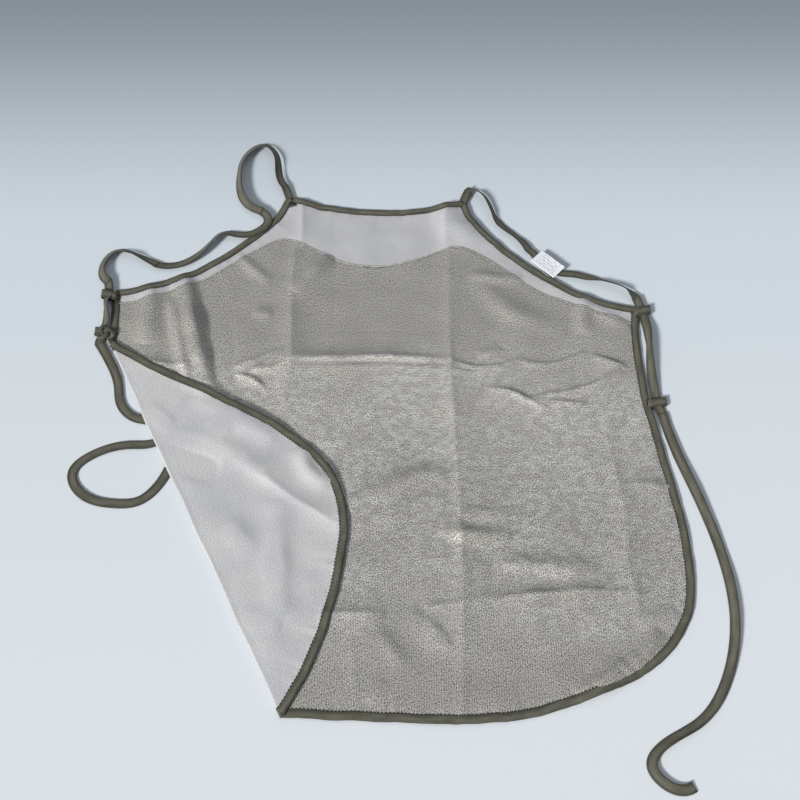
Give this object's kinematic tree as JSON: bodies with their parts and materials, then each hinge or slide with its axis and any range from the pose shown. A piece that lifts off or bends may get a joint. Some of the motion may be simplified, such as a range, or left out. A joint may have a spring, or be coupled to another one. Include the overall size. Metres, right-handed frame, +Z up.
{
  "type": "radiation shielding apron",
  "caption": "Bib apron of two cloth layers laid flat, one lower corner folded over, with bound edges, looped neck straps, side loops and ties.",
  "frame": {"origin": "middle of the bottom hem, on the surface the apron lies on", "axes": "+X to the right along the hem, +Y from the hem to the neck, +Z up, out of the inner side of the cloth"},
  "size_m": [0.7429, 0.8496, 0.0076],
  "materials": {
    "shell": "pale silver-grey plain-woven cloth with a satin sheen",
    "lining": "dark silver-fibre shielding cloth, fine twill, metallic speckle",
    "binding": "olive-grey woven binding tape, satin",
    "strap": "olive-grey woven strap tape, satin",
    "thread": "dark grey-olive sewing thread",
    "label": "white satin label tape"
  },
  "bodies": {
    "apron": {"bar_tacks": "thread", "hem_binding": "binding", "hem_stitching": "thread", "label_root": "label", "left_armhole_binding": "binding", "left_armhole_stitching": "thread", "left_side_binding": "binding", "left_side_stitching": "thread", "left_side_strap": "strap", "left_strap_end": "strap", "left_strap_middle": "strap", "left_underarm_loop": "strap", "left_waist_loop": "strap", "lining_edge_stitching": "thread", "neck_binding": "binding", "neck_stitching": "thread", "outer_shell": "shell", "right_armhole_binding": "binding", "right_armhole_stitching": "thread", "right_side_strap": "strap", "right_strap_end": "strap", "right_strap_under_label": "strap", "right_underarm_loop": "strap", "right_waist_loop": "strap", "shielding_lining": "lining"},
    "flap": {"outer_shell_flap": "shell", "shielding_lining_flap": "lining", "flap_binding": "binding", "flap_stitching": "thread"},
    "label": {"care_label": "label"},
    "right_upper_strap": {"right_upper_strap": "strap"},
    "right_lower_strap": {"right_lower_strap": "strap"},
    "left_strap_loop": {"left_strap_loop": "strap"},
    "left_shoulder_strap": {"left_shoulder_strap": "strap"},
    "left_tie": {"left_tie": "strap"},
    "right_tie": {"right_tie": "strap"}
  },
  "joints": [
    {"name": "flap_fold", "type": "hinge", "parent": "apron", "child": "flap", "pos_m": [-0.088, 0.0035, 0.0043], "axis": [0.454, -0.891, 0], "range_deg": [0, 178]},
    {"name": "label_flip", "type": "hinge", "parent": "apron", "child": "label", "pos_m": [0.196, 0.577, 0.0059], "axis": [0.7071, -0.7071, 0], "range_deg": [0, 165]},
    {"name": "right_upper_strap_lift", "type": "hinge", "parent": "apron", "child": "right_upper_strap", "pos_m": [0.121, 0.691, 0.0048], "axis": [0.6053, -0.796, 0], "range_deg": [0, 90]},
    {"name": "right_lower_strap_lift", "type": "hinge", "parent": "apron", "child": "right_lower_strap", "pos_m": [0.249, 0.557, 0.0048], "axis": [0.892, -0.452, 0], "range_deg": [0, 90]},
    {"name": "left_strap_loop_lift", "type": "hinge", "parent": "apron", "child": "left_strap_loop", "pos_m": [-0.119, 0.697, 0.0048], "axis": [0.564, 0.8258, 0], "range_deg": [0, 90]},
    {"name": "left_shoulder_strap_lift", "type": "hinge", "parent": "apron", "child": "left_shoulder_strap", "pos_m": [-0.274, 0.572, 0.0048], "axis": [0.9066, 0.422, 0], "range_deg": [0, 90]},
    {"name": "left_tie_swing", "type": "hinge", "parent": "apron", "child": "left_tie", "pos_m": [-0.334, 0.457, 0.0008], "axis": [0, 0, -1], "range_deg": [0, 60]},
    {"name": "right_tie_swing", "type": "hinge", "parent": "apron", "child": "right_tie", "pos_m": [0.338, 0.358, 0.0008], "axis": [0, 0, 1], "range_deg": [0, 60]}
  ]
}
